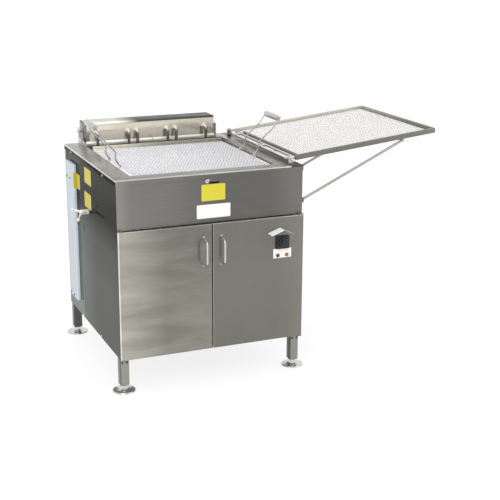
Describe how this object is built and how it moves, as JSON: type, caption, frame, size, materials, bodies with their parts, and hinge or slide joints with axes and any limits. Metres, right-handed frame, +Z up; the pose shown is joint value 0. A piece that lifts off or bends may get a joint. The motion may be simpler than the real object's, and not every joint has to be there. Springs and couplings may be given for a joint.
{
  "type": "donut fryer",
  "caption": "Floor-standing electric donut fryer with an open kettle, tilting element head, lift-out frying screen, double doors and a hinged drain tray",
  "frame": {"origin": "middle of the object's box on the floor, under the feet", "axes": "X runs from the drain valve side to the drain tray side, Y from the doors to the back, Z up"},
  "size_m": [1.579, 0.924, 1.1135],
  "materials": {
    "casing_steel": "brushed, rather dark and reflective",
    "deck_steel": "brushed with cooking stains",
    "door_steel": "brushed, smeared",
    "leg_steel": "brushed square tube",
    "bright_metal": "bright",
    "wire_metal": "bright drawn wire",
    "tray_steel": "brushed, stained",
    "heater_tube": "heat-darkened",
    "brass_fittings": "dull",
    "pipe_steel": "plain",
    "cover_paint": "pale blue-grey satin",
    "yellow_plate": "flat yellow, blank",
    "white_plate": "flat white, blank",
    "dark_plastic": "satin black",
    "red_lens": "dark red lens",
    "amber_lens": "amber lens",
    "pad_rubber": "matt black"
  },
  "bodies": {
    "cabinet": {"leg_front_left": "leg_steel", "leg_front_right": "leg_steel", "leg_rear_left": "leg_steel", "leg_rear_right": "leg_steel", "levelling_feet": "bright_metal", "left_panel": "casing_steel", "right_panel": "casing_steel", "back_panel": "casing_steel", "front_apron": "casing_steel", "top_deck": "deck_steel", "cabinet_floor": "casing_steel", "kettle": "deck_steel", "kettle_floor": "deck_steel", "drain_pipe": "pipe_steel", "drain_valve": "brass_fittings", "stem_gland": "bright_metal", "wire_cover": "cover_paint", "casing_screws": "bright_metal", "caution_plate": "yellow_plate", "maker_plate": "white_plate", "side_plates": "yellow_plate", "apron_hook": "bright_metal", "hinge_rod": "wire_metal", "rod_posts": "deck_steel", "head_brackets": "deck_steel", "control_box": "casing_steel", "contactors": "dark_plastic", "cable_gland": "dark_plastic", "door_pivots": "bright_metal"},
    "left_door": {"left_door_panel": "door_steel", "left_door_handle": "bright_metal"},
    "right_door": {"right_door_panel": "door_steel", "right_door_handle": "bright_metal", "controller_hood": "door_steel", "controller_case": "dark_plastic", "indicator_plate": "white_plate", "red_lamp": "red_lens", "amber_lamp": "amber_lens"},
    "dial": {"control_dial": "dark_plastic"},
    "head": {"head_box": "deck_steel", "head_cover": "deck_steel", "element_left": "heater_tube", "element_middle": "heater_tube", "element_right": "heater_tube", "element_bushes": "brass_fittings", "head_pins": "bright_metal", "thermostat_bulb": "brass_fittings"},
    "screen": {"screen_frame": "wire_metal", "screen_mesh": "wire_metal", "screen_guard": "deck_steel"},
    "left_bail_body": {"left_bail": "wire_metal", "left_grip": "bright_metal"},
    "right_bail_body": {"right_bail": "wire_metal", "right_grip": "bright_metal"},
    "tray": {"tray_pan": "tray_steel", "drain_screen": "wire_metal", "stay_rod": "wire_metal", "tray_stays": "wire_metal", "stay_pads": "pad_rubber"},
    "valve": {"valve_handle": "bright_metal"}
  },
  "joints": [
    {"name": "left_door_hinge", "type": "hinge", "parent": "cabinet", "child": "left_door", "pos_m": [-0.71752, -0.408, 0.436], "axis": [0, 0, -1], "range_deg": [0, 110]},
    {"name": "right_door_hinge", "type": "hinge", "parent": "cabinet", "child": "right_door", "pos_m": [0.10848, -0.408, 0.436], "axis": [0, 0, 1], "range_deg": [0, 110]},
    {"name": "dial_turn", "type": "hinge", "parent": "right_door", "child": "dial", "pos_m": [0.01348, -0.429, 0.604], "axis": [0, 1, 0], "range_deg": [0, 270]},
    {"name": "head_tilt", "type": "hinge", "parent": "cabinet", "child": "head", "pos_m": [-0.32952, 0.426, 0.99], "axis": [-1, 0, 0], "range_deg": [0, 70]},
    {"name": "screen_lift", "type": "slide", "parent": "head", "child": "screen", "axis": [0, 0, 1], "range_m": [0, 0.35]},
    {"name": "left_bail_swing", "type": "hinge", "parent": "screen", "child": "left_bail_body", "pos_m": [-0.61852, -0.03, 0.929], "axis": [0, 1, 0], "range_deg": [0, 98]},
    {"name": "right_bail_swing", "type": "hinge", "parent": "screen", "child": "right_bail_body", "pos_m": [0.00948, -0.03, 0.929], "axis": [0, -1, 0], "range_deg": [0, 105]},
    {"name": "tray_tilt", "type": "hinge", "parent": "cabinet", "child": "tray", "pos_m": [0.07248, -0.028, 0.952], "axis": [0, -1, 0], "range_deg": [0, 40]},
    {"name": "valve_turn", "type": "hinge", "parent": "cabinet", "child": "valve", "pos_m": [-0.75452, 0.045, 0.698], "axis": [1, 0, 0], "range_deg": [0, 90]}
  ]
}
